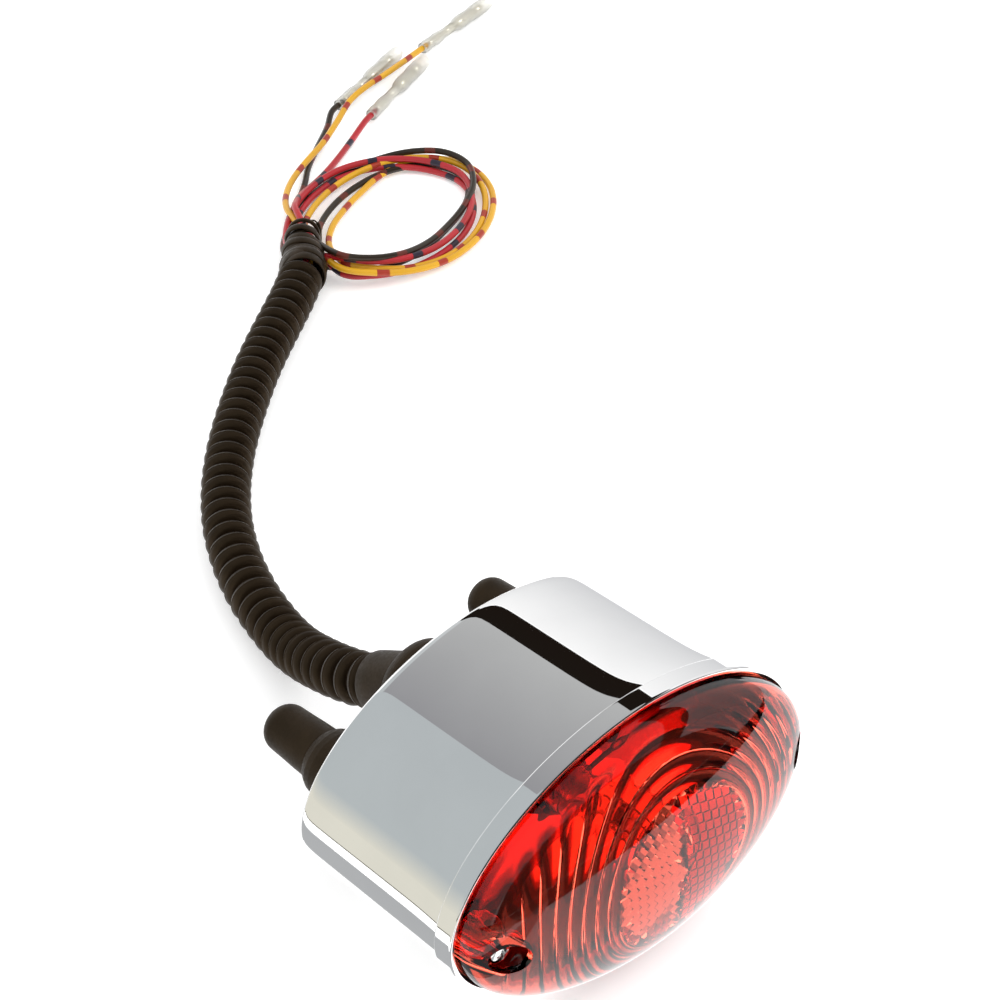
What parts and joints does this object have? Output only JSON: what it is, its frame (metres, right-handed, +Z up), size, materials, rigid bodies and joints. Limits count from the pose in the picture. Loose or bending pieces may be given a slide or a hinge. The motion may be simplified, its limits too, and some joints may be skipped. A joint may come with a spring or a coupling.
{
  "type": "motorcycle tail light",
  "caption": "Oval chrome motorcycle tail light with a domed red lens, bayonet bulb, mounting studs under rubber caps, and a corrugated loom with bullet connectors.",
  "frame": {"origin": "under the middle of the lamp without its wiring, level with the lowest line of the front lip", "axes": "+X along the lamp's long axis, -Y the way the lens faces, +Y the way the mounting studs point, +Z up with the lamp lying on its long side"},
  "size_m": [0.4144, 0.4394, 0.0847],
  "materials": {
    "chrome": "polished chrome plate on a zinc die casting",
    "red_lens": "clear red moulded plastic, glossy",
    "clear_glass": "clear blown glass",
    "bright_plate": "bright plated sheet",
    "steel": "zinc plated steel",
    "brass": "plain brass",
    "solder": "dull solder",
    "fibre": "pressed fibre board",
    "rubber": "matt black rubber",
    "loom_plastic": "satin black soft plastic",
    "yellow_wire": "satin insulation with ring marks",
    "red_wire": "satin insulation with ring marks",
    "brown_wire": "satin insulation with ring marks",
    "clear_sleeve": "milky clear soft plastic"
  },
  "bodies": {
    "lamp": {"housing": "chrome", "lens_gasket": "rubber", "reflector": "bright_plate", "bulb_socket": "steel", "plate_screw_left": "steel", "plate_screw_right": "steel", "contact_spring": "steel", "mounting_stud_left": "steel", "mounting_stud_right": "steel", "stud_nut_left": "steel", "stud_nut_right": "steel", "stud_collar_left": "rubber", "stud_collar_right": "rubber", "loom_boot": "rubber", "inner_wire_yellow": "yellow_wire", "inner_wire_red": "red_wire", "inner_wire_brown": "brown_wire", "loom": "loom_plastic", "wire_coil": "brown_wire", "twist_tie": "loom_plastic", "wire_yellow": "yellow_wire", "wire_red": "red_wire", "wire_brown": "brown_wire", "sleeve_yellow": "clear_sleeve", "sleeve_red": "clear_sleeve", "sleeve_brown": "clear_sleeve", "bullet_yellow": "brass", "bullet_red": "brass", "bullet_brown": "brass"},
    "lens_cover": {"lens": "red_lens"},
    "screw_left": {"lens_screw_left": "chrome"},
    "screw_right": {"lens_screw_right": "chrome"},
    "contact_plate": {"contact_carrier": "fibre", "contact_tail": "brass", "contact_stop": "brass"},
    "bulb": {"bulb_glass": "clear_glass", "bulb_base": "brass", "bulb_stem": "clear_glass", "filament_tail": "steel", "filament_stop": "steel", "bulb_contact_tail": "solder", "bulb_contact_stop": "solder"},
    "cap_left": {"stud_cap_left": "rubber"},
    "cap_right": {"stud_cap_right": "rubber"}
  },
  "joints": [
    {"name": "lens_lift_off", "type": "slide", "parent": "lamp", "child": "lens_cover", "axis": [0, -1, 0], "range_m": [0, 0.07]},
    {"name": "screw_left_turn", "type": "hinge", "parent": "lens_cover", "child": "screw_left", "pos_m": [-0.056, -0.045, 0.04233], "axis": [0, 1, 0], "continuous": true},
    {"name": "screw_right_turn", "type": "hinge", "parent": "lens_cover", "child": "screw_right", "pos_m": [0.056, -0.045, 0.04233], "axis": [0, 1, 0], "continuous": true},
    {"name": "bulb_push", "type": "slide", "parent": "lamp", "child": "contact_plate", "axis": [0, 1, 0], "range_m": [0, 0.0022], "stiffness_N_per_m": 1500, "deforming": ["contact_spring"]},
    {"name": "bulb_twist", "type": "hinge", "parent": "contact_plate", "child": "bulb", "pos_m": [0, -0.01, 0.04233], "axis": [0, -1, 0], "range_deg": [0, 20]},
    {"name": "cap_left_pull", "type": "slide", "parent": "lamp", "child": "cap_left", "axis": [0, 1, 0], "range_m": [0, 0.04]},
    {"name": "cap_right_pull", "type": "slide", "parent": "lamp", "child": "cap_right", "axis": [0, 1, 0], "range_m": [0, 0.04]}
  ]
}
